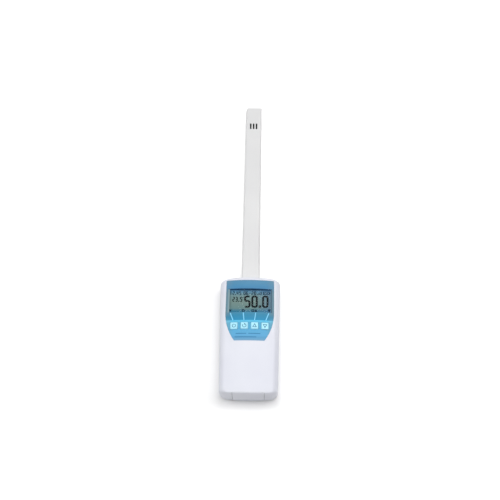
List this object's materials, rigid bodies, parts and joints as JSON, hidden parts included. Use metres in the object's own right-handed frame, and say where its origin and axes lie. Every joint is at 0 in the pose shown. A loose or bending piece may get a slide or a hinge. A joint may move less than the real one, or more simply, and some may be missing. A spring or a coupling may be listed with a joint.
{
  "type": "thermo-hygrometer",
  "caption": "Hand-held humidity and temperature meter with a long flat sword probe, crowned housing, display, four square keys and a sliding battery cover.",
  "frame": {"origin": "on the flat back of the housing, under the middle of the housing's length and width", "axes": "+X across the housing to the right as the display is read, +Y from the foot with the battery cover towards the probe's tip, +Z from the back to the display"},
  "size_m": [0.071, 0.413, 0.0302],
  "materials": {
    "housing_plastic": "satin",
    "overlay_foil": "satin",
    "window_clear": "gloss",
    "bezel_dark": "satin",
    "display_cell": "satin",
    "backlight_white": "matte",
    "steel": "satin",
    "contact_metal": "satin",
    "circuit_board": "satin",
    "chip_black": "matte",
    "capacitor_can": "satin",
    "stem_black": "matte",
    "key_blue": "satin",
    "probe_plastic": "satin",
    "inner_white": "matte",
    "lead_grey": "matte",
    "cell_jacket": "gloss"
  },
  "bodies": {
    "housing": {"front_shell": "housing_plastic", "rear_shell": "housing_plastic", "front_overlay": "overlay_foil", "display_window": "window_clear", "display_bezel": "bezel_dark", "display_glass": "display_cell", "backlight_panel": "backlight_white", "display_pins": "steel", "board_screws": "steel", "root_block_screws": "steel", "housing_screws": "steel", "clock_crystal": "steel", "terminal_positive": "contact_metal", "terminal_negative": "contact_metal", "bridge_contact": "contact_metal", "spring_inner": "contact_metal", "spring_foot": "contact_metal", "main_board": "circuit_board", "sensor_board": "circuit_board", "processor_chip": "chip_black", "key_switches": "chip_black", "humidity_sensor": "chip_black", "temperature_sensor": "chip_black", "supply_capacitor": "capacitor_can", "probe_tube": "probe_plastic", "probe_tip": "probe_plastic", "probe_root_block": "inner_white", "sensor_plug": "inner_white", "probe_socket": "inner_white", "sensor_lead": "lead_grey", "battery_cell_left": "cell_jacket", "battery_cell_right": "cell_jacket"},
    "power_key": {"key_power": "key_blue", "stem_power": "stem_black"},
    "turn_key": {"key_turn": "key_blue", "stem_turn": "stem_black"},
    "up_key": {"key_up": "key_blue", "stem_up": "stem_black"},
    "down_key": {"key_down": "key_blue", "stem_down": "stem_black"},
    "cover": {"battery_cover": "housing_plastic"}
  },
  "joints": [
    {"name": "power_press", "type": "slide", "parent": "housing", "child": "power_key", "axis": [0, 0, -1], "range_m": [0, 0.0005], "stiffness_N_per_m": 2000},
    {"name": "turn_press", "type": "slide", "parent": "housing", "child": "turn_key", "axis": [0, 0, -1], "range_m": [0, 0.0005], "stiffness_N_per_m": 2000},
    {"name": "up_press", "type": "slide", "parent": "housing", "child": "up_key", "axis": [0, 0, -1], "range_m": [0, 0.0005], "stiffness_N_per_m": 2000},
    {"name": "down_press", "type": "slide", "parent": "housing", "child": "down_key", "axis": [0, 0, -1], "range_m": [0, 0.0005], "stiffness_N_per_m": 2000},
    {"name": "cover_slide", "type": "slide", "parent": "housing", "child": "cover", "axis": [0, -1, 0], "range_m": [0, 0.065]}
  ]
}
